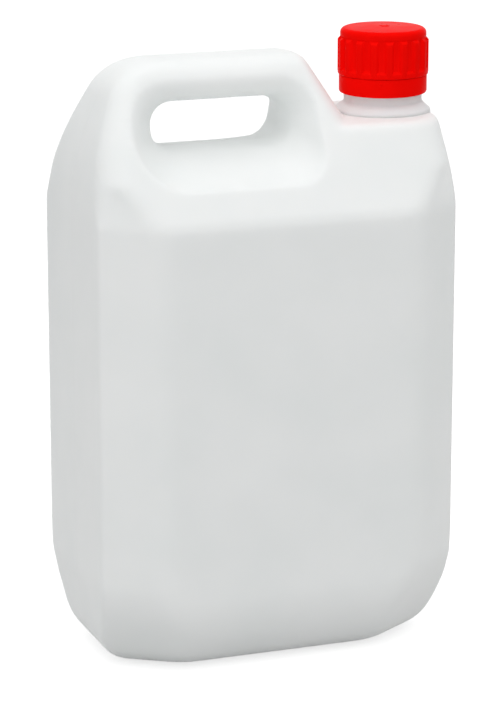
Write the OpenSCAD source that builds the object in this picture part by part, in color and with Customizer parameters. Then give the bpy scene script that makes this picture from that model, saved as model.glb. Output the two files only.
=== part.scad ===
// Five-litre blow-moulded jerrycan with a hollow through handle, an offset neck
// and a ribbed screw cap on a tamper-evident band. Millimetres. The can stands on
// z = 0, its width runs along X (handle towards -X, neck towards +X), front is -Y.

/* [Can] */
// Width of the can
can_w = 190; // [180:1:210]
// Depth of the can, front to back
can_d = 122; // [110:1:140]
// Height of the handle's top
can_h = 305.5; // [290:0.5:330]
// Thickness of the blown wall
wall = 1.5; // [1:0.1:2.5]

/* [Corners and base] */
// Width of a corner facet, measured along X
facet_x = 27; // [18:1:34]
// Width of a corner facet, measured along Y
facet_y = 17.5; // [12:0.5:24]
// Radius where a facet meets the side
facet_side_r = 4; // [2:1:10]
// Radius where a facet meets the front
facet_front_r = 26; // [10:1:40]
// Radius of the foot all round
foot_r = 22; // [14:1:26]
// How far the sides lean in below
foot_lean_side = 6; // [2:1:12]
// Height at which the sides start to lean in
foot_rise_side = 46; // [36:1:60]
// How far the front and back lean in below
foot_lean_front = 19; // [10:1:24]
// Height at which the front and back start to lean in
foot_rise_front = 27; // [24:1:40]
// How far the facets lean in below
foot_lean_facet = 24; // [16:1:30]
// Height at which the facets start to lean in
foot_rise_facet = 39; // [30:1:50]
// Depth of the recess under the base
base_recess = 2.5; // [1:0.5:4]
// Width of the ring that the can stands on
stand_ring = 7; // [5:1:10]

/* [Shoulders and handle] */
// Drop from the handle's top to the shoulder edge
shoulder_drop = 74.5; // [66:0.5:88]
// Radius along the shoulder edge
shoulder_r = 14; // [6:1:24]
// Thickness that the handle's faces would have at its top
handle_t = 33; // [26:1:40]
// Radius over the top of the handle bar
handle_top_r = 12.5; // [8:0.5:14]
// Distance of the handle's upper left corner from the can's left side
handle_left_inset = 21.5; // [15:0.5:29]
// Radius of that corner
handle_left_r = 27; // [16:1:34]
// Drop from the handle's top to where the left side starts to lean in
lean_drop = 50.5; // [44:0.5:60]
// Radius of that bend
lean_r = 130; // [60:5:150]
// Plan radius of the left corners where they leave the shoulder
handle_low_r = 20; // [12:1:24]
// Plan radius of the left corners at the handle's top
handle_plan_r = 8.5; // [6:0.5:12]
// Height over which a facet fades into the corner above the shoulder
facet_fade = 20; // [10:1:30]
// Drop from the handle's top to the deck that carries the neck
deck_drop = 33.5; // [28:0.5:39]
// How far the right side leans in up to the deck
deck_lean = 1.3; // [0.5:0.1:5]
// Plan radius of the right corners where they leave the shoulder
deck_low_r = 17; // [12:1:22]
// Plan radius of the right corners at the deck
deck_plan_r = 25; // [14:1:28]
// Radius along the deck's edge
deck_edge_r = 3; // [1.5:0.5:5]
// Distance from the can's right side to where the handle's right end meets the deck
horn_foot_inset = 49; // [47:0.5:53]
// Distance from the can's right side to where the handle's right end would reach its top
horn_top_inset = 70.3; // [65:0.1:75]
// Radius of the handle's upper right corner
horn_r = 10; // [6:1:14]
// How far the rounding of the handle's right end reaches, as a share of its half thickness
horn_round = 0.45; // [0.35:0.05:0.6]

/* [Handle hole] */
// Distance of the hole from the can's left side
hole_left_inset = 39.5; // [37:0.5:45]
// Distance of the hole from the can's right side
hole_right_inset = 82.5; // [81:0.5:89]
// Drop from the handle's top to the hole's bottom
hole_bottom_drop = 45; // [41.5:0.5:47.5]
// Drop from the handle's top to the hole's top
hole_top_drop = 21; // [18.5:0.5:24.5]
// Corner radius of the hole
hole_r = 10.5; // [7:0.5:11]
// Half thickness of the rim at the hole's top
rim_top = 5; // [4:0.5:8]
// Half thickness of the rim at the hole's bottom
rim_bottom = 11.5; // [6:0.5:13]
// How much the hole narrows to the pinched seam
pinch = 1.2; // [0.4:0.2:2]
// Width of the finger well left of the hole
well_left = 18.5; // [14:0.5:22]
// Width of the finger well right of the hole
well_right = 12; // [9:1:14]
// Width of the finger well below the hole
well_below = 13.4; // [11:0.2:16]
// Width of the finger well above the hole
well_above = 12; // [9:1:13]

/* [Neck] */
// Distance of the neck's axis from the can's right side
neck_inset = 23; // [22.5:0.1:25]
// Outer diameter of the plain neck
neck_d = 39.8; // [38:0.1:41]
// Diameter of the neck's bore
neck_bore_d = 33.6; // [30:0.1:34.5]
// Diameter of the neck between its threads
thread_root_d = 37.4; // [36.6:0.1:38]
// Height of the plain neck above the deck
neck_plain_h = 12.4; // [11:0.1:13]
// Diameter of the bead that holds the tamper band
bead_d = 41.4; // [40.6:0.1:41.6]
// Height of that bead
bead_h = 2.4; // [1.6:0.1:3]
// Height of the neck's lip above the deck
neck_h = 38.4; // [37:0.1:40]
// Diameter of the step ring round the neck's foot
step_d = 41.8; // [41:0.1:43]
// Height of that step ring
step_h = 1.4; // [0.8:0.1:2]

/* [Cap] */
// Diameter over the ribs
rib_d = 46.2; // [45.4:0.1:47]
// Number of ribs
ribs = 18; // [12:1:24]
// Diameter between the ribs
flute_d = 43.2; // [42.8:0.1:44]
// Width of a rib at its foot
rib_w = 4.6; // [3.5:0.1:5]
// Width of a rib's flat crest
crest_w = 2.6; // [1:0.1:3]
// Turn of the first rib away from the X axis
rib_turn = -4.5; // [-10:0.5:10]
// Diameter of the crown
crown_d = 43.8; // [43:0.1:44.4]
// Height of the plain crown above the ribs
crown_h = 4.2; // [3.5:0.1:5.5]
// Height over which the ribs' upper ends are cut back to the crown
rib_cut = 1.9; // [1:0.1:2.5]
// Height of the whole cap
cap_h = 23.6; // [22:0.1:25]
// Thickness of the cap's top plate
cap_plate = 2.6; // [1.5:0.1:3]
// Radius round the crown's top
crown_r = 2.6; // [1:0.1:3]
// Inner diameter of the cap's skirt
skirt_bore_d = 40.6; // [40.2:0.1:41]
// Height of the plain ring round the skirt's foot
foot_ring_h = 2.6; // [1.5:0.1:3.5]
// Height of the sloping ledge between that ring and a flute
ledge_h = 1.2; // [0.6:0.1:2]
// Diameter of the sealing disc
liner_d = 39; // [38:0.1:39.6]
// Thickness of the sealing disc
liner_t = 1.5; // [1:0.1:2]

/* [Tamper band] */
// Outer diameter of the band
band_d = 44.8; // [44.4:0.1:45.6]
// Inner diameter of the band
band_bore_d = 42; // [41.8:0.1:42.4]
// Height of the band without its bridges
band_h = 9.1; // [8:0.1:9.6]
// Radius under the band's outer edge
band_edge_r = 1.2; // [0.6:0.1:1.4]
// Slit between the band and the cap
slit = 0.4; // [0.3:0.05:0.6]
// Number of bridges across the slit
bridges = 9; // [6:1:12]
// Width of a bridge
bridge_w = 1; // [0.6:0.1:1.4]
// Turn of the band's moulding pip away from the X axis
pip_turn = -114.5; // [-180:0.5:180]
// Height of that pip above the band's foot
pip_z = 7.4; // [2:0.1:7.6]

/* [Hidden] */

// Clearance, height and lead-in of the band's catch ring round the neck
catch_gap = 0.3;
catch_h = 2.6;
catch_lead = 0.4;
// Bevels of the cap's foot and ribs, and of the band's upper edge
cap_chamfer = 0.4;
rib_bevel = 0.2;
band_top_r = 0.4;
// Depth of the bridges, height of the band's pip, place and size of the gate mark on the cap
bridge_depth = 1;
pip_h = 0.5;
gate_at = [2, 3.8];
gate_size = [3.8, 4.2, 0.3];
// Radii of the bends where the sides start to lean in, below and above
lean_in_r = 60;
deck_bend_r = 30;
// Bevels of the step ring and the lip of the neck
step_bevel = 0.5;
lip_bevel = 0.8;
// Width and height of the pinched seam under the base
seam_w = 1.6;
seam_h = 1.8;
// Fineness of the curved outlines and of the rings that they place
arc_steps = 5;
cylinder_fn = 96;

half_w = can_w / 2;
half_d = can_d / 2;
shoulder_z = can_h - shoulder_drop;
lean_z = can_h - lean_drop;
deck_z = can_h - deck_drop;
deck_right_x = half_w - deck_lean;
handle_left_x = handle_left_inset - half_w;
horn_foot_x = half_w - horn_foot_inset;
horn_top_x = half_w - horn_top_inset;
hole_left_x = hole_left_inset - half_w;
hole_right_x = half_w - hole_right_inset;
hole_bottom_z = can_h - hole_bottom_drop;
hole_top_z = can_h - hole_top_drop;
neck_x = half_w - neck_inset;
handle_half_t = handle_t / 2;
lip_z = deck_z + neck_h;
liner_top_z = lip_z + liner_t;
cap_top_z = liner_top_z + cap_plate;
cap_z = cap_top_z - cap_h;
band_z = cap_z - slit - band_h;
bead_z = deck_z + neck_plain_h;

// Corner of a polygon, rounded. Points run from a past p to b.
function unit(v) = v / norm(v);
function fillet(a, p, b, r, steps = arc_steps) =
    let (
        u = unit(a - p),
        v = unit(b - p),
        half = acos(max(-1, min(1, u * v))) / 2,
        reach = min(r / tan(half), 0.49 * norm(a - p), 0.49 * norm(b - p)),
        rr = reach * tan(half),
        centre = p + unit(u + v) * rr / sin(half),
        s = p + u * reach - centre,
        e = p + v * reach - centre,
        from = atan2(s.y, s.x),
        turn = ((atan2(e.y, e.x) - from + 540) % 360) - 180
    )
    [for (k = [0:steps]) centre + rr * [cos(from + turn * k / steps), sin(from + turn * k / steps)]];

// A polygon's inner corners rounded, as a table from height to reach.
function rounded(points, radii) =
    [for (i = [1:len(points) - 2]) each fillet(points[i - 1], points[i], points[i + 1], radii[i])];
function table(points, radii) = [for (p = rounded(points, radii)) [p.y, p.x]];

facet_len = norm([facet_x, facet_y]);
facet_n = [facet_y, facet_x] / facet_len;
facet_c = facet_n * [half_w, half_d - facet_y];

left_reach = table(
    [[0, 0], [half_w - foot_lean_side, 0], [half_w, foot_rise_side], [half_w, lean_z],
     [-handle_left_x, can_h], [0, can_h]],
    [0, foot_r, lean_in_r, lean_r, handle_left_r]);
right_reach = table(
    [[0, 0], [half_w - foot_lean_side, 0], [half_w, foot_rise_side], [half_w, shoulder_z + 9],
     [deck_right_x, deck_z + 20]],
    [0, foot_r, lean_in_r, deck_bend_r]);
horn_reach = table(
    [[horn_foot_x, deck_z], [horn_top_x, can_h], [0, can_h]],
    [0, horn_r]);
front_reach = table(
    [[0, 0], [half_d - foot_lean_front, 0], [half_d, foot_rise_front], [half_d, shoulder_z],
     [handle_half_t, can_h], [0, can_h]],
    [0, foot_r, lean_in_r, shoulder_r, handle_top_r]);
facet_reach = table(
    [[0, 0], [facet_c - foot_lean_facet, 0], [facet_c, foot_rise_facet], [facet_c, can_h]],
    [0, foot_r, lean_in_r]);

function horn_x(z) = z < horn_reach[0][0]
    ? horn_foot_x + (horn_top_x - horn_foot_x) * (z - deck_z) / (can_h - deck_z)
    : lookup(z, horn_reach);

// Corner of a level section, from the side to the front, as two rounded bends.
function plan_corner(x, d, lx, ly, ra, rb) =
    let (
        a = [x, d - ly],
        b = [x - lx, d]
    )
    concat(fillet([x, -1], a, b, ra, 3), fillet(a, b, [x - 3 * lx, d], rb, 4));

// A corner is an upright facet below the shoulder, which fades above it into a plain
// bend whose radius runs from low_r at the shoulder to top_r at the top.
function mix(a, b, q) = a + (b - a) * q;
function round_corner(x, d, r) =
    [for (k = [0:8]) [x - r + r * cos(90 * k / 8), d - r + r * sin(90 * k / 8)]];
function facet_corner(x, d, c) =
    let (
        ya = (c - facet_n.x * x) / facet_n.y,
        xb = (c - facet_n.y * d) / facet_n.x
    )
    plan_corner(x, d, x - xb, d - ya, facet_side_r, facet_front_r);
function corner_of(x, d, z, top, low_r, top_r) =
    z <= shoulder_z
    ? facet_corner(x, d, lookup(z, facet_reach))
    : let (
        bend = round_corner(x, d, mix(low_r, top_r, (z - shoulder_z) / (top - shoulder_z))),
        facet = plan_corner(x, d, facet_x, facet_y, facet_side_r, facet_front_r),
        q = min(1, (z - shoulder_z) / facet_fade)
      )
      [for (k = [0:len(bend) - 1]) mix(facet[k], bend[k], q)];

// Rounded end of the handle above the deck.
function horn_end(x, d) =
    [for (k = [0:10]) let (t = 7 + 83 * k / 11) [x - d * horn_round * (1 - sin(t)), d * cos(t)]];

function flip(points) = [for (i = [len(points) - 1:-1:0]) points[i]];

// Half of a level section, from the left seam point round the front to the right one.
// inset is the wall that is taken off, edge the rounding of the deck's rim.
horn_start_x = horn_foot_x - horn_round * lookup(deck_z, front_reach);
function half_section(z, inset, edge, above) =
    let (
        xl = lookup(z, left_reach) - inset,
        d = lookup(z, front_reach) - inset,
        left = [for (p = corner_of(xl + inset, d + inset, z, can_h, handle_low_r, handle_plan_r)) [-p.x + inset, -p.y + inset]],
        xr = (above ? horn_x(z) : lookup(z, right_reach) - edge) - inset,
        dr = d - edge,
        grown = inset + edge,
        bend = flip([for (p = corner_of(xr + grown, dr + grown, z, deck_z, deck_low_r, deck_plan_r))
            [p.x - grown, -p.y + grown]]),
        step_x = min(horn_start_x + 6, bend[0].x - 1),
        right = above
            ? [for (p = horn_end(xr, d)) [p.x, -p.y]]
            : concat([[mix(horn_start_x, step_x, 0.5), -d], [step_x, -dr]], bend)
    )
    concat(
        [[-xl, 0]], left,
        [[-8, -d], [(above ? xr - horn_round * d : horn_start_x) - 0.5, -d]],
        right, [[xr, 0]]);

function whole_section(half) =
    concat(half, [for (i = [len(half) - 2:-1:1]) [half[i].x, -half[i].y]]);

// Levels of the rings: below the shoulder, up to the deck and up the handle.
foot_levels = [0, 0.8, 2.6, 5.5, 9.5, 14.5, 20, 27, 33, 39, 47];
side_levels = [for (dz = [-20, -5, -1, 3, 9, 17, 26, 34]) shoulder_z + dz];
handle_levels = [for (q = [0, 0.15, 0.35, 0.55, 0.68, 0.79, 0.88, 0.95, 1]) mix(deck_z, can_h, q)];

// A ring is [height in the drawing, inset, rounding of the deck's rim, above the deck].
function ring_list(w) = concat(
    w > 0 ? [] : [[0, stand_ring + 2, 0, false, base_recess], [0, stand_ring, 0, false, 0]],
    [for (z = foot_levels) if (w == 0 || z > base_recess) [z, w, 0, false, z + w]],
    [for (z = side_levels) [z, w, 0, false, z + (z < can_h / 2 ? w : -w)]],
    [for (t = [0, 30, 60, 90]) [deck_z - deck_edge_r * (1 - sin(t)), w, deck_edge_r * (1 - cos(t)), false,
        deck_z - deck_edge_r * (1 - sin(t)) - w]],
    [for (z = handle_levels) [z, w, 0, true, z - w]]);

// Closed skin through the rings. The last ring below the deck and the first above it
// lie at one height: they share their left part, and the deck lies between their right parts.
module skin(w) {
    rings = ring_list(w);
    first_above = [for (i = [0:len(rings) - 1]) if (rings[i][3]) i][0];
    halves = [for (r = rings) half_section(r[0], r[1], r[2], r[3])];
    n = 2 * len(halves[0]) - 2;
    shared = 11;
    points = [for (i = [0:len(rings) - 1]) each [for (p = whole_section(halves[i])) [p.x, p.y, rings[i][4]]]];
    function id(i, j) = let (jj = (j + n) % n)
        i == first_above && (jj <= shared || jj >= n - shared) ? (i - 1) * n + jj : i * n + jj;
    quads = [for (i = [0:len(rings) - 2]) for (j = [0:n - 1])
        [id(i, j), id(i + 1, j), id(i + 1, j + 1), id(i, j + 1)]];
    triangles = [for (q = quads) each [[q[0], q[1], q[2]], [q[0], q[2], q[3]]]];
    sound = [for (t = triangles) if (t[0] != t[1] && t[1] != t[2] && t[2] != t[0]) t];
    last = (len(rings) - 1) * n;
    middle = [(horn_top_x + handle_left_x) / 2, 0];
    closed = concat(points, [[0, 0, rings[0][4]], [middle.x, 0, rings[len(rings) - 1][4]]]);
    caps = [for (j = [0:n - 1]) let (k = (j + 1) % n)
        each [[len(points), j, k], [len(points) + 1, last + k, last + j]]];
    polyhedron(closed, concat(sound, caps), 4);
}

// Outline of the hole in the plane of the seam, and of the finger well round it.
function box_outline(x0, x1, z0, z1, r, straight) =
    let (
        corners = [[x1, z0, r[0], -90], [x1, z1, r[1], 0], [x0, z1, r[2], 90], [x0, z0, r[3], 180]],
        arcs = [for (c = corners) let (
                cx = c.x == x1 ? x1 - c[2] : x0 + c[2],
                cz = c.y == z1 ? z1 - c[2] : z0 + c[2])
            [for (k = [0:6]) [cx, cz] + c[2] * [cos(c[3] + 15 * k), sin(c[3] + 15 * k)]]]
    )
    [for (i = [0:3]) each concat(arcs[i],
        [for (k = [1:straight[i]]) mix(arcs[i][6], arcs[(i + 1) % 4][0], k / (straight[i] + 1))])];

straight = [0, 5, 0, 5];
function hole_outline(grow) = box_outline(
    hole_left_x - grow, hole_right_x + grow, hole_bottom_z - grow, hole_top_z + grow,
    [for (i = [0:3]) hole_r + grow], straight);
function well_outline(grow) = box_outline(
    hole_left_x - well_left - grow, hole_right_x + well_right + grow,
    hole_bottom_z - well_below - grow, hole_top_z + well_above + grow,
    [16 + grow, 16 + grow, 20 + grow, 26 + grow], straight);

// Share of the hole's height at a point: 0 at its bottom, 1 at its top.
function hole_share(z) = max(0, min(1, (z - hole_bottom_z) / (hole_top_z - hole_bottom_z)));

// Half depth of the finger well: a shelf below the hole, a rounded bar above it.
function well_depth(z, s) =
    let (
        q = hole_share(z),
        rim = mix(rim_bottom, rim_top, q),
        bar = mix(0.95, 0.5, q)
    )
    rim + (lookup(z, front_reach) - rim) * pow(s, bar);

// The space that the hole and its finger wells take out of the can, front to back.
// grow thickens it by the wall, for the inside of the can.
module handle_hole(grow) {
    inner = hole_outline(grow);
    outer = well_outline(grow);
    n = len(inner);
    function at(s) = [for (j = [0:n - 1]) let (p = mix(inner[j], outer[j], s))
        [p.x, -max(0.2, well_depth(p.y, s) - grow), p.y]];
    far = [for (p = at(1.12)) [p.x, -half_d - 20, p.z]];
    front = concat([far], [for (s = [1.078, 0.958, 0.838, 0.717, 0.597, 0.477, 0.324, 0.2, 0.105, 0.033, 0]) at(s)]);
    seam = [for (p = hole_outline(grow - pinch)) [p.x, 0, p.y]];
    rings = concat(front, [seam], [for (i = [len(front) - 1:-1:0]) [for (p = front[i]) [p.x, -p.y, p.z]]]);
    points = [for (r = rings) each r];
    m = len(rings);
    sides = [for (i = [0:m - 2]) for (j = [0:n - 1]) let (k = (j + 1) % n)
        each [[i * n + j, (i + 1) * n + k, (i + 1) * n + j], [i * n + j, i * n + k, (i + 1) * n + k]]];
    middle = [(hole_left_x + hole_right_x) / 2, (hole_bottom_z + hole_top_z) / 2];
    closed = concat(points, [for (y = [far[0].y, -far[0].y]) [middle.x, y, middle.y]]);
    caps = [for (j = [0:n - 1]) let (k = (j + 1) % n)
        each [[m * n, k, j], [m * n + 1, (m - 1) * n + j, (m - 1) * n + k]]];
    polyhedron(closed, concat(sides, caps), 4);
}

// Neck above the deck: step ring, plain neck, bead for the tamper band and threaded stub.
module neck_outside() {
    translate([neck_x, 0, 0]) rotate_extrude($fn = cylinder_fn) polygon([
        [0, deck_z - deck_edge_r], [step_d / 2, deck_z - deck_edge_r],
        [step_d / 2, deck_z + step_h - step_bevel], [step_d / 2 - step_bevel, deck_z + step_h],
        [neck_d / 2 + step_bevel, deck_z + step_h], [neck_d / 2, deck_z + step_h + step_bevel],
        [neck_d / 2, bead_z - bead_h / 3], [bead_d / 2, bead_z],
        [bead_d / 2, bead_z + bead_h / 3], [thread_root_d / 2, bead_z + bead_h],
        [thread_root_d / 2, lip_z - lip_bevel], [thread_root_d / 2 - lip_bevel, lip_z],
        [0, lip_z]]);
}

// Seam where the tube of plastic was pinched off under the base.
module base_seam() {
    translate([0, 0, base_recess - 0.4]) cube([1.1 * half_w, seam_w, seam_h], center = true);
}

// Space inside the blown wall.
module inside() {
    difference() {
        skin(wall);
        handle_hole(wall);
    }
}

// The blown can, set to its stated width and depth.
module body() color([0.9, 0.92, 0.91]) resize([can_w, can_d, 0]) {
    difference() {
        union() {
            difference() {
                skin(0);
                handle_hole(0);
            }
            neck_outside();
            base_seam();
        }
        inside();
        translate([neck_x, 0, deck_z - wall - 2]) cylinder(d = neck_bore_d, h = neck_h + wall + 4, $fn = cylinder_fn);
    }
}

// Upright rib of the cap: a flat-crested ridge.
module rib() {
    foot = flute_d / 2 - rib_bevel;
    crest = rib_d / 2 - rib_bevel;
    linear_extrude(cap_h - crown_h) polygon([
        [foot - 1, -rib_w / 2], [foot, -rib_w / 2], [crest, -crest_w / 2 - rib_bevel],
        [rib_d / 2, -crest_w / 2], [rib_d / 2, crest_w / 2],
        [crest, crest_w / 2 + rib_bevel], [foot, rib_w / 2], [foot - 1, rib_w / 2]]);
}

// Everything that the ribs may fill: their upper ends are cut back towards the crown.
module rib_space() {
    rib_top = cap_h - crown_h;
    rotate_extrude($fn = cylinder_fn) polygon([
        [0, foot_ring_h / 2], [rib_d / 2 + 1, foot_ring_h / 2], [rib_d / 2 + 1, rib_top - rib_cut],
        [rib_d / 2 + 0.01, rib_top - rib_cut], [crown_d / 2 - rib_bevel, rib_top], [0, rib_top]]);
}

// Outline of the cap without its ribs: foot ring, ledge, flute, crown and rounded top.
module cap_profile() {
    ring_r = rib_d / 2 - rib_bevel / 2;
    polygon(concat(
        [[0, 0], [ring_r - cap_chamfer, 0], [ring_r, cap_chamfer], [ring_r, foot_ring_h],
         [flute_d / 2, foot_ring_h + ledge_h], [flute_d / 2, cap_h - crown_h - rib_bevel],
         [crown_d / 2, cap_h - crown_h], [crown_d / 2, cap_h - crown_r]],
        [for (t = [15:15:75]) [crown_d / 2 - crown_r * (1 - cos(t)), cap_h - crown_r * (1 - sin(t))]],
        [[crown_d / 2 - crown_r, cap_h], [0, cap_h]]));
}

module cap() color([0.88, 0.05, 0.03]) translate([neck_x, 0, cap_z]) {
    difference() {
        union() {
            rotate_extrude($fn = cylinder_fn) cap_profile();
            intersection() {
                for (i = [0:ribs - 1]) rotate(rib_turn + i * 360 / ribs) rib();
                rib_space();
            }
            translate([gate_at.x, gate_at.y, cap_h]) cube([gate_size.x, gate_size.y, 2 * gate_size.z], center = true);
        }
        translate([0, 0, -1]) cylinder(d = skirt_bore_d, h = liner_top_z - cap_z + 1, $fn = cylinder_fn);
    }
}

module liner() color([0.96, 0.96, 0.94])
    translate([neck_x, 0, lip_z]) cylinder(d = liner_d, h = liner_t, $fn = cylinder_fn);

module tamper_band() color([0.88, 0.05, 0.03]) translate([neck_x, 0, band_z]) {
    difference() {
        union() {
            rotate_extrude($fn = cylinder_fn) polygon([
                [0, 0], [band_d / 2 - band_edge_r, 0], [band_d / 2 - band_edge_r * 0.3, band_edge_r * 0.3],
                [band_d / 2, band_edge_r], [band_d / 2, band_h - band_top_r], [band_d / 2 - band_top_r, band_h],
                [0, band_h]]);
            for (i = [0:bridges - 1]) rotate((i + 0.5) * 360 / bridges)
                translate([band_bore_d / 2 + 0.2, -bridge_w / 2, band_h - 1]) cube([bridge_depth, bridge_w, 1 + slit]);
            rotate(pip_turn) translate([band_d / 2 - pip_h, 0, pip_z]) rotate([0, 90, 0])
                cylinder(d1 = 2, d2 = 1.2, h = 2 * pip_h);
        }
        difference() {
            translate([0, 0, -1]) cylinder(d = band_bore_d, h = band_h + 3, $fn = cylinder_fn);
            rotate_extrude($fn = cylinder_fn) polygon([
                [band_bore_d / 2 + 1, 0], [band_bore_d / 2 - catch_lead, 0], [neck_d / 2 + catch_gap, catch_h / 4],
                [neck_d / 2 + catch_gap, catch_h / 2], [band_bore_d / 2, catch_h], [band_bore_d / 2 + 1, catch_h]]);
        }
    }
}

body();
tamper_band();
cap();
liner();
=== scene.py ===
import bpy
import bmesh
import math
from mathutils import Matrix, Vector


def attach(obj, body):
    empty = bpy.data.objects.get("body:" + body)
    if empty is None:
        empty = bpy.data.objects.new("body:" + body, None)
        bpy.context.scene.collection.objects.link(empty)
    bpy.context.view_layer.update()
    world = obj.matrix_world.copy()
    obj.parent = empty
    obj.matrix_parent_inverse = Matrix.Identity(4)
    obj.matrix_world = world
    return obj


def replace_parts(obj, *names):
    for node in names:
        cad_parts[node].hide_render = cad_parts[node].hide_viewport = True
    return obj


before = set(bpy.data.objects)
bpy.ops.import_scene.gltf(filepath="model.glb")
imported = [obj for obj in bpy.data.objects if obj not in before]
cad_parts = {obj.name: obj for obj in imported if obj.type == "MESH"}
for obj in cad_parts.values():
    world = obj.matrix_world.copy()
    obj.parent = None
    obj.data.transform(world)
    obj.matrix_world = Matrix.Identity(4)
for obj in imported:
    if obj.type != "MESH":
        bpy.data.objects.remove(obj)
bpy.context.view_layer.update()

MM = 0.001

# The can's sizes in millimetres: width on X with the neck at +X, front at -Y.
HALF_W = 95.0
HALF_D = 61.0
CAN_H = 305.5
WALL = 1.5
SHOULDER_Z = 231.0
SHOULDER_R = 14

# The foot is smaller than the can: the sides flare out of it up to these heights.
FOOT_HALF_W = 89
FOOT_HALF_D = 42
FOOT_FACET_IN = 24
FOOT_R = 22
FLARE_SIDE_Z = 46
FLARE_FRONT_Z = 27
FLARE_FACET_Z = 39
FLARE_R = 60
STAND_IN = 7
RECESS_IN = 9
RECESS_H = 2.5

# Flat facets at the four corners, which fade into plain bends above the shoulder.
FACET_X = 27.0
FACET_Y = 17.5
FACET_FADE = 20.0
FACET_BENDS = (4, 26)
LEFT_BENDS = (20, 8.5)
RIGHT_BENDS = (17, 25)

# The handle bar with its horn, and the deck beside it that carries the neck.
HANDLE_LEFT = 73.5
HANDLE_HALF_D = 16.5
HANDLE_END_R = 27
HANDLE_TOP_R = 12.5
LEAN_LEFT_Z = 255
LEAN_LEFT_R = 130
LEAN_RIGHT_Z = 240
LEAN_RIGHT_TOP = (93.7, 292)
LEAN_RIGHT_R = 30
DECK_Z = 272.0
DECK_EDGE_R = 3.0
HORN_FOOT_X = 46.0
HORN_TOP_X = 24.7
HORN_R = 10
HORN_ROUND = 0.45
MIDDLE_X = -8

# The hole through the handle, its finger wells and the rim between them.
HOLE = (-56.0, 15.5, 260.5, 284.5)
HOLE_R = 10.5
WELL_GROWTH = (18.0, 9.0, 13.4, 12.0)
WELL_R = (16, 16, 20, 26)
RIM_TOP = 5.0
RIM_BOTTOM = 11.5
RIM_SWELL = 9.0
RIM_SWELL_REACH = 34
PINCH = 1.2
ARC_STEPS = 12
SIDE_STEPS = (1, 11, 1, 11)

# The neck, its collar and the bead that holds the band.
NECK_X = 72.0
LIP_Z = 310.4
BORE_R = 16.8
COLLAR_R = 24.6
COLLAR_END = 21.6
NECK_FOOT_R = 19.9
BEAD_R = 20.7
NECK_R = 18.7
THREAD_LEAD = 6.0
THREAD_H = 1.1
THREAD_TIP = 1.0

# The tamper band. RIM_UP raises its rim, which leaves a thinner slit under the cap.
BAND_Z = 281.4
BAND_H = 9.1
BAND_R = 22.4
BAND_IN_R = 21.0
CATCH_R = 20.2
RIM_UP = 0.2
BRIDGES = 9
PIP_UP = 7.4
PIP_TURN = -114.5

# The cap, with the plane that its ribs reach up to and the mark of its moulding gate.
CAP_Z = 290.9
CAP_H = 23.6
CAP_R = 23.0
CAP_IN_R = 20.3
CAP_IN_H = 21.0
FOOT_RING_H = 2.6
SKIRT_R = 21.6
CROWN_SIDE_R = 21.9
CROWN_R = 2.6
RIBS = 18
RIB_TURN = -4.5
RIB_TOP = 19.4
RIB_SLOPE = 1.35
GATE_AT = (2.0, 3.8)
GATE_SIZE = (3.8, 4.2, 0.56)


def fillet(a, p, b, r, steps):
    """Points of the arc that rounds the corner p between a and b."""
    a, p, b = Vector(a), Vector(p), Vector(b)
    u, v = (a - p).normalized(), (b - p).normalized()
    half = math.acos(max(-1, min(1, u.dot(v)))) / 2
    reach = min(r / math.tan(half), 0.49 * (a - p).length, 0.49 * (b - p).length)
    rr = reach * math.tan(half)
    centre = p + (u + v).normalized() * rr / math.sin(half)
    s, e = p + u * reach - centre, p + v * reach - centre
    start = math.atan2(s.y, s.x)
    turn = (math.atan2(e.y, e.x) - start + 3 * math.pi) % (2 * math.pi) - math.pi
    return [centre + rr * Vector((math.cos(start + turn * k / steps), math.sin(start + turn * k / steps)))
            for k in range(steps + 1)]


def profile(points, radii):
    """Reach of an upright outline against height, its inner corners rounded."""
    out = []
    for i, r in enumerate(radii):
        out += fillet(points[i], points[i + 1], points[i + 2], r, 16)
    return [(p.y, p.x) for p in out]


def reach(table, z):
    """Reach at one height, straight between the table's rows."""
    if z <= table[0][0]:
        return table[0][1]
    for (z0, r0), (z1, r1) in zip(table, table[1:]):
        if z <= z1:
            return r0 if z1 == z0 else r0 + (r1 - r0) * (z - z0) / (z1 - z0)
    return table[-1][1]


def mix(a, b, q):
    return a + (b - a) * q


def share(value):
    """The value kept between 0 and 1."""
    return max(0, min(1, value))


FACET_LEN = math.hypot(FACET_X, FACET_Y)
FACET_N = Vector((FACET_Y, FACET_X)) / FACET_LEN
FACET_C = FACET_N.x * HALF_W + FACET_N.y * (HALF_D - FACET_Y)

LEFT = profile([(0, 0), (FOOT_HALF_W, 0), (HALF_W, FLARE_SIDE_Z), (HALF_W, LEAN_LEFT_Z), (HANDLE_LEFT, CAN_H),
                (0, CAN_H)], [FOOT_R, FLARE_R, LEAN_LEFT_R, HANDLE_END_R])
RIGHT = profile([(0, 0), (FOOT_HALF_W, 0), (HALF_W, FLARE_SIDE_Z), (HALF_W, LEAN_RIGHT_Z), LEAN_RIGHT_TOP],
                [FOOT_R, FLARE_R, LEAN_RIGHT_R])
HORN = profile([(HORN_FOOT_X, DECK_Z), (HORN_TOP_X, CAN_H), (0, CAN_H)], [HORN_R])
FRONT = profile([(0, 0), (FOOT_HALF_D, 0), (HALF_D, FLARE_FRONT_Z), (HALF_D, SHOULDER_Z),
                 (HANDLE_HALF_D, CAN_H), (0, CAN_H)], [FOOT_R, FLARE_R, SHOULDER_R, HANDLE_TOP_R])
FACET = profile([(0, 0), (FACET_C - FOOT_FACET_IN, 0), (FACET_C, FLARE_FACET_Z), (FACET_C, CAN_H)],
                [FOOT_R, FLARE_R])


def horn_x(z):
    """The handle's right end against height."""
    if z < HORN[0][0]:
        return mix(HORN_FOOT_X, HORN_TOP_X, (z - DECK_Z) / (CAN_H - DECK_Z))
    return reach(HORN, z)


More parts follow.
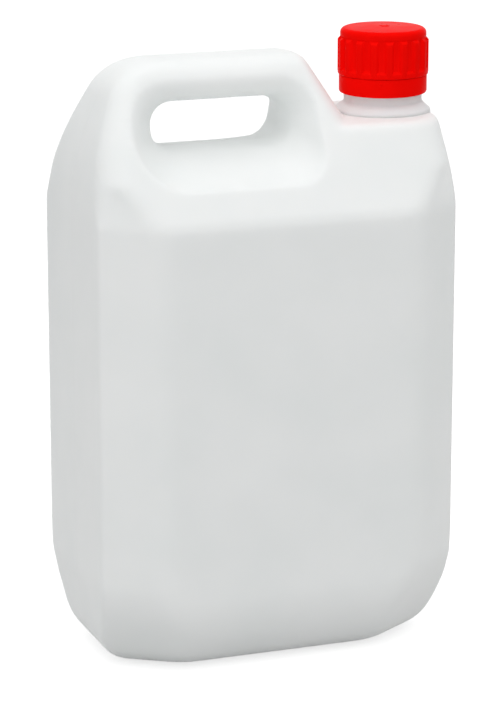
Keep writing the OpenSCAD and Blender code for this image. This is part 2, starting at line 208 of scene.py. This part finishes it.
def plan_corner(x, d, lx, ly):
    """One corner of a level section: a tight bend at the side and a soft one at the front."""
    tight, soft = FACET_BENDS
    a, b = (x, d - ly), (x - lx, d)
    return fillet((x, -1), a, b, tight, 8) + fillet(a, b, (x - 3 * lx, d), soft, 10)


def corner(x, d, z, top, bends):
    """A flat facet below the shoulder, which fades into a plain bend above it."""
    if z <= SHOULDER_Z:
        c = reach(FACET, z)
        ya, xb = (c - FACET_N.x * x) / FACET_N.y, (c - FACET_N.y * d) / FACET_N.x
        return plan_corner(x, d, x - xb, d - ya)
    r = mix(bends[0], bends[1], (z - SHOULDER_Z) / (top - SHOULDER_Z))
    q = min(1, (z - SHOULDER_Z) / FACET_FADE)
    turn = [math.radians(90 * k / 19) for k in range(20)]
    bend = [Vector((x - r + r * math.cos(t), d - r + r * math.sin(t))) for t in turn]
    return [a.lerp(b, q) for a, b in zip(plan_corner(x, d, FACET_X, FACET_Y), bend)]


HORN_START_X = HORN_FOOT_X - HORN_ROUND * reach(FRONT, DECK_Z)


def section(z, inset, edge, above):
    """Whole level section of the can. edge takes the deck's rounded rim off, and above is true
    where the section cuts the handle alone."""
    xl, d = reach(LEFT, z) - inset, reach(FRONT, z) - inset
    bend = corner(xl + inset, d + inset, z, CAN_H, LEFT_BENDS)
    half = [(-xl, 0)] + [(inset - p.x, inset - p.y) for p in bend]
    if above:
        xr = horn_x(z) - inset
        half += [(MIDDLE_X, -d), (xr - HORN_ROUND * d - 0.5, -d)]
        count = 22
        for k in range(count):
            t = math.radians(7 + 83 * k / count)
            half.append((xr - d * HORN_ROUND * (1 - math.sin(t)), -d * math.cos(t)))
    else:
        xr, dr = reach(RIGHT, z) - edge - inset, d - edge
        grown = inset + edge
        bend = corner(xr + grown, dr + grown, z, DECK_Z, RIGHT_BENDS)
        bend = [(p.x - grown, grown - p.y) for p in bend][::-1]
        step_x = min(HORN_START_X + 6, bend[0][0] - 1)
        half += [(MIDDLE_X, -d), (HORN_START_X - 0.5, -d), (mix(HORN_START_X, step_x, 0.5), -d)]
        half += [(step_x, -dr)] + bend
    half.append((xr, 0))
    return half + [(x, -y) for x, y in half[-2:0:-1]]


def loft(rings):
    """Closed form through level rings that all have one count of points."""
    n, rows = len(rings[0]), len(rings) - 1
    bm = bmesh.new()
    bmesh.ops.create_grid(bm, x_segments=n, y_segments=rows, size=0.5)
    for v in bm.verts:
        v.co = rings[round((v.co.y + 0.5) * rows)][round((v.co.x + 0.5) * n) % n]
    bmesh.ops.remove_doubles(bm, verts=bm.verts, dist=1e-4)
    bmesh.ops.holes_fill(bm, edges=[e for e in bm.edges if e.is_boundary])
    bmesh.ops.recalc_face_normals(bm, faces=bm.faces)
    return bm


def can_form(inset, step):
    """The can with its handle as a plain closed form. inset takes the wall off for its inside.
    Each ring is the height that its outline is taken at, what it is taken in by, and where it lies."""
    rings = [] if inset else [(0, RECESS_IN, 0, False, RECESS_H), (0, STAND_IN, 0, False, 0)]
    levels = [] if inset else [0]
    levels += [0.5, 1.2, 2.2, 3.6, 5.2] + [7 + step * k for k in range(int(43 / step))]
    levels += [60, 90, 130, 170, 200, 212, 218]
    levels += [222 + step * k for k in range(int(46 / step))]
    rings += [(z, inset, 0, False, z + (inset if z < 150 else -inset)) for z in levels]
    for t in range(0, 91, 10):
        z = DECK_Z - DECK_EDGE_R * (1 - math.sin(math.radians(t)))
        rings.append((z, inset, DECK_EDGE_R * (1 - math.cos(math.radians(t))), False, z - inset))
    count = int(33 / step)
    for k in range(count + 1):
        z = mix(DECK_Z, CAN_H, 1 - (1 - k / count) ** 1.6)
        rings.append((z, inset, 0, True, z - inset))
    return loft([[Vector((x, y, at)) for x, y in section(z, taken, edge, above)]
                 for z, taken, edge, above, at in rings])


def rounded_box(x0, x1, z0, z1, radii):
    """Outline in the plane of the seam, with its own radius at each corner."""
    arcs = []
    for n, (cx, cz) in enumerate([(x1, z0), (x1, z1), (x0, z1), (x0, z0)]):
        r = radii[n]
        mx, mz = (cx - r if cx == x1 else cx + r), (cz - r if cz == z1 else cz + r)
        turn = [math.radians(90 * (n - 1) + 90 * k / ARC_STEPS) for k in range(ARC_STEPS + 1)]
        arcs.append([Vector((mx + r * math.cos(t), mz + r * math.sin(t))) for t in turn])
    out = []
    for n, count in enumerate(SIDE_STEPS):
        out += arcs[n]
        a, b = arcs[n][-1], arcs[(n + 1) % 4][0]
        out += [a.lerp(b, k / (count + 1)) for k in range(1, count + 1)]
    return out


def handle_space(grow, steps):
    """The hole and its finger wells, front to back. grow thickens it for the inside of the can."""
    x0, x1, z0, z1 = HOLE
    left, right, below, above = WELL_GROWTH
    hole = rounded_box(x0 - grow, x1 + grow, z0 - grow, z1 + grow, [HOLE_R + grow] * 4)
    well = rounded_box(x0 - left - grow, x1 + right + grow, z0 - below - grow, z1 + above + grow,
                       [r + grow for r in WELL_R])
    seam = rounded_box(x0 - grow + PINCH, x1 + grow - PINCH, z0 - grow + PINCH, z1 + grow - PINCH,
                       [HOLE_R + grow - PINCH] * 4)

    def ring(s, side):
        """One ring of the wells: s is 0 at the hole's edge and 1 at the well's outline."""
        out = []
        for a, b in zip(hole, well):
            p = a.lerp(b, s)
            q = share((p.y - z0) / (z1 - z0))
            near = share((p.x - x1 + RIM_SWELL_REACH) / RIM_SWELL_REACH)
            rim = mix(RIM_BOTTOM, RIM_TOP, q) + RIM_SWELL * (1 - q) * near ** 2
            depth = rim + (reach(FRONT, p.y) - rim) * s ** mix(0.95, 0.5, q)
            out.append(Vector((p.x, side * max(0.2, depth - grow), p.y)))
        return out

    shares = [1 - (k / steps) ** 0.6 for k in range(steps)] + [0.004, 0]
    front = [ring(s, -1) for s in shares]
    back = [ring(s, 1) for s in reversed(shares)]
    far = [[Vector((p.x, side * (HALF_D + 20), p.z)) for p in ring(1.12, side)] for side in (-1, 1)]
    return loft([far[0]] + front + [[Vector((p.x, 0, p.y)) for p in seam]] + back + [far[1]])


def work_object(name, bm):
    """A mesh in millimetres as an object of its own, for modifiers to work on."""
    mesh = bpy.data.meshes.new(name)
    bm.to_mesh(mesh)
    bm.free()
    o = bpy.data.objects.new(name, mesh)
    bpy.context.scene.collection.objects.link(o)
    return o


def settled(o):
    """The object's mesh with its modifiers worked in, as a bmesh; the object goes."""
    depsgraph = bpy.context.evaluated_depsgraph_get()
    depsgraph.update()
    mesh = bpy.data.meshes.new_from_object(o.evaluated_get(depsgraph))
    bm = bmesh.new()
    bm.from_mesh(mesh)
    bpy.data.objects.remove(o)
    return bm


def cut(bm, tool_bm):
    """What is left of one closed form when another is taken out."""
    o, tool = work_object("form", bm), work_object("tool", tool_bm)
    m = o.modifiers.new("cut", "BOOLEAN")
    m.operation, m.solver, m.object = "DIFFERENCE", "EXACT", tool
    out = settled(o)
    bpy.data.objects.remove(tool)
    return out


def piece(name, bm, body, material, sharp=None):
    """A finished piece in metres, on its body, with its finish."""
    bmesh.ops.scale(bm, vec=(MM, MM, MM), verts=bm.verts)
    o = work_object(name, bm)
    o.data.materials.append(material)
    o.data.shade_smooth()
    if sharp:
        o.data.set_sharp_from_angle(angle=math.radians(sharp))
    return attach(o, body)


def revolve(points, steps=128):
    """A closed outline of (radius, height) turned round the neck's axis."""
    bm = bmesh.new()
    verts = [bm.verts.new((r, 0, z)) for r, z in points]
    for a, b in zip(verts, verts[1:] + verts[:1]):
        bm.edges.new((a, b))
    bmesh.ops.spin(bm, geom=bm.verts[:] + bm.edges[:], cent=(0, 0, 0), axis=(0, 0, 1), angle=2 * math.pi,
                   steps=steps, use_merge=True)
    bmesh.ops.remove_doubles(bm, verts=bm.verts, dist=1e-4)
    bmesh.ops.recalc_face_normals(bm, faces=bm.faces)
    return bm


def ease(bm, width, angle=28):
    """Rounds the edges that turn more than the angle."""
    edges = [e for e in bm.edges if e.is_manifold and e.calc_face_angle(0) > math.radians(angle)]
    bmesh.ops.bevel(bm, geom=edges, offset=width, offset_type="OFFSET", segments=2, profile=0.5,
                    affect="EDGES", clamp_overlap=True, material=-1)


def turned(bm, degrees):
    """The mesh turned round the neck's axis."""
    turn = Matrix.Rotation(math.radians(degrees), 3, "Z")
    bmesh.ops.rotate(bm, cent=(0, 0, 0), matrix=turn, verts=bm.verts)
    return bm


def thread(radius, base, z, turns, inward=False):
    """Helical ridge with run-out ends, right-handed, round the neck's axis."""
    steps = 60
    sign = -1 if inward else 1
    bm = bmesh.new()
    shape = [(radius - sign * 0.3, -base / 2), (radius + sign * THREAD_H, -THREAD_TIP / 2),
             (radius + sign * THREAD_H, THREAD_TIP / 2), (radius - sign * 0.3, base / 2)]
    verts = [bm.verts.new((r, 0, z + h)) for r, h in shape]
    face = bm.faces.new(verts)
    count = int(turns * steps)
    bmesh.ops.spin(bm, geom=[face] + face.edges[:] + verts, cent=(0, 0, 0), axis=(0, 0, 1),
                   dvec=(0, 0, THREAD_LEAD / steps), angle=2 * math.pi * turns, steps=count)
    for v in bm.verts:
        r = math.hypot(v.co.x, v.co.y)
        along = (v.co.z - z) / THREAD_LEAD * steps
        ends = min(1, max(0, along + 0.5) / 6, max(0, count - along + 0.5) / 6)
        if abs(r - radius) > 0.35:
            k = (radius + sign * THREAD_H * ends) / r
            v.co.x *= k
            v.co.y *= k
    bmesh.ops.recalc_face_normals(bm, faces=bm.faces)
    return bm


def joined(*parts):
    """Several bmeshes as one."""
    whole = bmesh.new()
    for part in parts:
        mesh = bpy.data.meshes.new("part")
        part.to_mesh(mesh)
        part.free()
        whole.from_mesh(mesh)
        bpy.data.meshes.remove(mesh)
    return whole


def to_neck(bm, z=0.0):
    """The mesh moved from the middle to the neck's axis."""
    bmesh.ops.translate(bm, vec=(NECK_X, 0, z), verts=bm.verts)
    return bm


# Finishes

def srgb(code):
    """sRGB hex to the linear colour that the shaders take."""
    parts = [int(code[i:i + 2], 16) / 255 for i in (1, 3, 5)]
    return tuple(c / 12.92 if c <= 0.04045 else ((c + 0.055) / 1.055) ** 2.4 for c in parts) + (1.0,)


def add(tree, kind, links=None, values=None, **settings):
    """One node, with its settings, its own values and what feeds it."""
    made = tree.nodes.new(kind)
    for key, value in settings.items():
        setattr(made, key, value)
    for key, value in (values or {}).items():
        made.inputs[key].default_value = value
    for key, source in (links or {}).items():
        tree.links.new(source, made.inputs[key])
    return made


def finish(name):
    """An empty material, and its tree with the output and the place in millimetres."""
    material = bpy.data.materials.new(name)
    material.use_nodes = True
    tree = material.node_tree
    tree.nodes.clear()
    out = add(tree, "ShaderNodeOutputMaterial")
    place = add(tree, "ShaderNodeTexCoord")
    mm = add(tree, "ShaderNodeVectorMath", {0: place.outputs["Object"]}, {1: (1000, 1000, 1000)},
             operation="MULTIPLY")
    return material, tree, out, mm.outputs[0]


def noise(tree, mm, size, detail, roughness):
    """Cloudy pattern with features of about this size in millimetres."""
    made = add(tree, "ShaderNodeTexNoise", {"Vector": mm},
               {"Scale": 1 / size, "Detail": detail, "Roughness": roughness})
    return made.outputs["Fac"]


def tones(tree, pattern, low, high):
    """Colour of a pattern between two tones, each a place on the pattern and an sRGB hex."""
    made = add(tree, "ShaderNodeValToRGB", {"Fac": pattern})
    for stop, (place, code) in zip(made.color_ramp.elements, (low, high)):
        stop.position, stop.color = place, srgb(code)
    return made.outputs[0]


def relief(tree, pattern, strength, distance, under=None):
    """Relief of a pattern, its distance in metres, laid over another relief where there is one."""
    links = {"Height": pattern}
    if under:
        links["Normal"] = under
    return add(tree, "ShaderNodeBump", links, {"Strength": strength, "Distance": distance}).outputs[0]


def spread(tree, pattern, low, high):
    """A value between low and high that follows a pattern."""
    made = add(tree, "ShaderNodeMapRange", {"Value": pattern},
               {"From Min": 0.3, "From Max": 0.7, "To Min": low, "To Max": high})
    return made.outputs[0]


def blown_polyethylene(name, weight, depth):
    """Natural high-density polyethylene, blown against a blasted steel mould: a milky white
    that lets light into the wall, satin, slightly uneven, with a fine line where the mould halves met.
    weight and depth in metres say how much of the light goes in, and how far."""
    material, tree, out, mm = finish(name)
    tone = tones(tree, noise(tree, mm, 55, 2.0, 0.5), (0.3, "#F2F5F4"), (0.7, "#F8FAF9"))
    wave = noise(tree, mm, 34, 1.0, 0.4)
    grain = noise(tree, mm, 1.1, 2.0, 0.6)
    split = add(tree, "ShaderNodeSeparateXYZ", {0: mm})
    off = add(tree, "ShaderNodeMath", {0: split.outputs["Y"]}, operation="ABSOLUTE")
    line = add(tree, "ShaderNodeMapRange", {"Value": off.outputs[0]},
               {"From Min": 0.25, "From Max": 0.7, "To Min": 1.0, "To Max": 0.0},
               interpolation_type="SMOOTHSTEP")
    swell = relief(tree, wave, 0.35, 0.0006)
    blast = relief(tree, grain, 0.25, 0.00005, swell)
    seam = relief(tree, line.outputs[0], 0.8, 0.00018, blast)
    skin = add(tree, "ShaderNodeBsdfPrincipled",
               {"Base Color": tone, "Roughness": spread(tree, grain, 0.40, 0.50), "Normal": seam},
               {"IOR": 1.52, "Specular IOR Level": 0.12, "Subsurface Weight": weight,
                "Subsurface Radius": (1.0, 0.96, 0.92), "Subsurface Scale": depth})
    tree.links.new(skin.outputs[0], out.inputs[0])
    return material


def moulded_red():
    """Red polyethylene, injection moulded in a polished tool: satin gloss and an even colour,
    with the faint flow that keeps a moulded face from being a mirror."""
    material, tree, out, mm = finish("red_hdpe_moulded")
    flow = noise(tree, mm, 9, 2.0, 0.5)
    grain = noise(tree, mm, 0.7, 2.0, 0.6)
    tone = tones(tree, flow, (0.3, "#F60904"), (0.7, "#FC0A05"))
    ripple = relief(tree, flow, 0.2, 0.0001)
    pores = relief(tree, grain, 0.15, 0.00003, ripple)
    skin = add(tree, "ShaderNodeBsdfPrincipled",
               {"Base Color": tone, "Roughness": spread(tree, flow, 0.27, 0.35), "Normal": pores},
               {"IOR": 1.5, "Specular IOR Level": 0.006})
    tree.links.new(skin.outputs[0], out.inputs[0])
    return material


def foamed_liner():
    """Foamed polyethylene disc, punched from sheet: white, matt, with fine closed cells."""
    material, tree, out, mm = finish("white_pe_foam")
    cells = add(tree, "ShaderNodeTexVoronoi", {"Vector": mm}, {"Scale": 1 / 0.8}).outputs["Distance"]
    tone = tones(tree, cells, (0.0, "#F1F1EE"), (0.6, "#E6E6E2"))
    dents = relief(tree, cells, 0.4, 0.0001)
    skin = add(tree, "ShaderNodeBsdfPrincipled", {"Base Color": tone, "Normal": dents},
               {"IOR": 1.5, "Roughness": 0.75})
    tree.links.new(skin.outputs[0], out.inputs[0])
    return material


NATURAL = blown_polyethylene("natural_hdpe_blown", 0.3, 0.004)
NECK_WALL = blown_polyethylene("natural_hdpe_compressed_neck", 0.9, 0.011)
RED, FOAM = moulded_red(), foamed_liner()


# The blown can: outer skin, softened as a blown wall is, and its inside as a second skin
outer = work_object("outer", cut(can_form(0, 1.5), handle_space(0, 26)))
remesh = outer.modifiers.new("even", "REMESH")
remesh.mode, remesh.voxel_size = "VOXEL", 1.6
soften = outer.modifiers.new("soften", "SMOOTH")
soften.factor, soften.iterations = 0.5, 5
outer = settled(outer)

inner = cut(can_form(WALL, 5), handle_space(WALL, 10))
bmesh.ops.reverse_faces(inner, faces=inner.faces)
bore = bmesh.new()
bmesh.ops.create_cone(bore, cap_ends=True, segments=96, radius1=17.2, radius2=17.2, depth=12)
can = cut(joined(outer, inner), to_neck(bore, DECK_Z - 1))
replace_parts(piece("can_shell", can, "can", NATURAL), "body")

# The neck, on a sloping collar that ends flush with the deck's right edge
neck = revolve([(BORE_R, DECK_Z - 1.4), (24.3, DECK_Z - 1.4), (COLLAR_R, DECK_Z - 0.8),
                (COLLAR_R, DECK_Z + 0.9), (24.0, DECK_Z + 2.0), (20.8, DECK_Z + 4.3),
                (NECK_FOOT_R, DECK_Z + 5.2), (NECK_FOOT_R, 283.6), (BEAD_R, 284.4), (BEAD_R, 285.2),
                (NECK_R, 286.8), (NECK_R, LIP_Z - 0.7), (18.1, LIP_Z), (17.3, LIP_Z), (BORE_R, LIP_Z - 0.6)])
ease(neck, 0.3)
for v in neck.verts:
    v.co.x = min(v.co.x, COLLAR_END)
neck_thread = thread(NECK_R, 2.6, 294.5, 1.75)
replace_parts(piece("neck", to_neck(joined(neck, neck_thread)), "can", NECK_WALL, 40),
            "body")

# The tamper band with its catch ring, bridges and pip
rim = BAND_H + RIM_UP
band = revolve([(20.6, 0), (21.2, 0), (22.04, 0.36), (BAND_R, 1.2), (BAND_R, rim - 0.2), (22.2, rim),
                (BAND_IN_R, rim), (BAND_IN_R, 2.6), (CATCH_R, 1.3), (CATCH_R, 0.65)])
ease(band, 0.2)
extras = []
for i in range(BRIDGES):
    bridge = bmesh.new()
    bmesh.ops.create_cone(bridge, cap_ends=True, segments=12, radius1=0.62, radius2=0.45, depth=1.4)
    bmesh.ops.translate(bridge, vec=(21.6, 0, BAND_H - 0.3), verts=bridge.verts)
    extras.append(turned(bridge, (i + 0.5) * 360 / BRIDGES))
pip = bmesh.new()
bmesh.ops.create_cone(pip, cap_ends=True, segments=24, radius1=1.0, radius2=0.6, depth=1.0)
ease(pip, 0.15)
bmesh.ops.rotate(pip, cent=(0, 0, 0), matrix=Matrix.Rotation(math.radians(90), 3, "Y"), verts=pip.verts)
bmesh.ops.translate(pip, vec=(BAND_R, 0, PIP_UP), verts=pip.verts)
turned(pip, PIP_TURN)
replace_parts(piece("tear_band", to_neck(joined(band, pip, *extras), BAND_Z), "can", RED,
                  40), "tamper_band")

# The cap: flat-crested ribs over a foot ring, their upper ends cut back to a plain rounded crown
crown = [(CROWN_SIDE_R - CROWN_R * (1 - math.cos(math.radians(t))),
          CAP_H - CROWN_R + CROWN_R * math.sin(math.radians(t))) for t in range(0, 91, 15)]
shell = revolve([(CAP_IN_R, 0), (22.6, 0), (CAP_R, 0.4), (CAP_R, FOOT_RING_H), (SKIRT_R, 3.8),
                 (SKIRT_R, RIB_TOP - 0.2), (CROWN_SIDE_R, RIB_TOP)]
                + crown + [(0, CAP_H), (0, CAP_IN_H), (CAP_IN_R, CAP_IN_H)], 144)
ease(shell, 0.2)
rib_side = [(21.0, 2.3), (21.45, 2.3), (22.9, 1.5), (23.1, 1.25)]
rib_plan = [(r, -t) for r, t in rib_side] + rib_side[::-1]
ribs = []
for i in range(RIBS):
    rib = bmesh.new()
    foot = rib.faces.new([rib.verts.new((r, t, 1.3)) for r, t in rib_plan])
    top = bmesh.ops.extrude_face_region(rib, geom=[foot])["geom"]
    for v in top:
        if isinstance(v, bmesh.types.BMVert):
            v.co.z = RIB_TOP - max(0, v.co.x - 21.7) * RIB_SLOPE
    bmesh.ops.recalc_face_normals(rib, faces=rib.faces)
    ease(rib, 0.16, 20)
    ribs.append(turned(rib, i * 360 / RIBS + RIB_TURN))
gate = bmesh.new()
bmesh.ops.create_cube(gate, size=1)
bmesh.ops.scale(gate, vec=GATE_SIZE, verts=gate.verts)
ease(gate, 0.12)
bmesh.ops.translate(gate, vec=(*GATE_AT, CAP_H), verts=gate.verts)
cap_thread = thread(CAP_IN_R, 2.4, 297.5 - CAP_Z, 1.3, inward=True)
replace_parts(piece("screw_cap", to_neck(joined(shell, gate, cap_thread, *ribs), CAP_Z), "closure", RED,
                  40), "cap")

# The sealing disc keeps its solid and takes its foam
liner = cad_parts["liner"]
liner.data.materials.clear()
liner.data.materials.append(FOAM)


# Floor, light and camera
def white_to_camera(tree):
    """1 where the camera sees the white ground, directly or in a reflection."""
    ray = add(tree, "ShaderNodeLightPath")
    seen = add(tree, "ShaderNodeMath", {0: ray.outputs["Is Camera Ray"], 1: ray.outputs["Is Glossy Ray"]},
               operation="MAXIMUM")
    return add(tree, "ShaderNodeMath", {0: seen.outputs[0], 1: ray.outputs["Is Transmission Ray"]},
               operation="MAXIMUM").outputs[0]


floor_bm = bmesh.new()
bmesh.ops.create_grid(floor_bm, x_segments=8, y_segments=8, size=7)
bmesh.ops.translate(floor_bm, vec=(0, 0, -0.0003), verts=floor_bm.verts)
floor = work_object("floor", floor_bm)
ground = bpy.data.materials.new("pale_floor")
ground.use_nodes = True
tree = ground.node_tree
tree.nodes.clear()
plain = add(tree, "ShaderNodeBsdfDiffuse", values={"Color": (0.58, 0.58, 0.58, 1)})
glow = add(tree, "ShaderNodeEmission", values={"Strength": 0.68})
both = add(tree, "ShaderNodeAddShader", {0: plain.outputs[0], 1: glow.outputs[0]})
pick = add(tree, "ShaderNodeMixShader", {0: white_to_camera(tree), 1: plain.outputs[0], 2: both.outputs[0]})
add(tree, "ShaderNodeOutputMaterial", {0: pick.outputs[0]})
floor.data.materials.append(ground)

world = bpy.data.worlds.new("studio")
world.use_nodes = True
bpy.context.scene.world = world
tree = world.node_tree
tree.nodes.clear()
soft = add(tree, "ShaderNodeBackground", values={"Color": (1, 1, 1, 1), "Strength": 0.7})
white = add(tree, "ShaderNodeBackground", values={"Color": (1, 1, 1, 1), "Strength": 1.0})
pick = add(tree, "ShaderNodeMixShader", {0: white_to_camera(tree), 1: soft.outputs[0], 2: white.outputs[0]})
add(tree, "ShaderNodeOutputWorld", {0: pick.outputs[0]})


def softbox(name, place, aim, size, watts):
    """A square lamp at a place in millimetres, turned to what it lights."""
    lamp = bpy.data.lights.new(name, "AREA")
    lamp.shape, lamp.size, lamp.energy = "SQUARE", size, watts
    o = bpy.data.objects.new(name, lamp)
    bpy.context.scene.collection.objects.link(o)
    o.location = Vector(place) * MM
    o.rotation_euler = (Vector(aim) - Vector(place)).to_track_quat("-Z", "Y").to_euler()


softbox("top_light", (-100, -300, 1700), (0, 0, 150), 1.6, 8.6)
softbox("front_light", (-700, -1600, 800), (0, 0, 150), 1.2, 4.2)

# The camera, with its focal length in pixels of a picture that is PICTURE_H high
YAW, PITCH, DISTANCE = math.radians(20.41), math.radians(14.55), 1570.66
FOCAL, PICTURE_H, SENSOR_H = 3064.18, 707, 36
aim = Vector((-0.12 * math.cos(YAW), 0.12 * math.sin(YAW), 149.88))
look = Vector((math.sin(YAW) * math.cos(PITCH), math.cos(YAW) * math.cos(PITCH), -math.sin(PITCH)))
lens = bpy.data.cameras.new("camera")
lens.sensor_fit, lens.sensor_height, lens.lens = "VERTICAL", SENSOR_H, FOCAL / PICTURE_H * SENSOR_H
camera = bpy.data.objects.new("camera", lens)
bpy.context.scene.collection.objects.link(camera)
camera.location = (aim - look * DISTANCE) * MM
camera.rotation_euler = look.to_track_quat("-Z", "Y").to_euler()
bpy.context.scene.camera = camera
bpy.context.scene.view_settings.view_transform = "Standard"
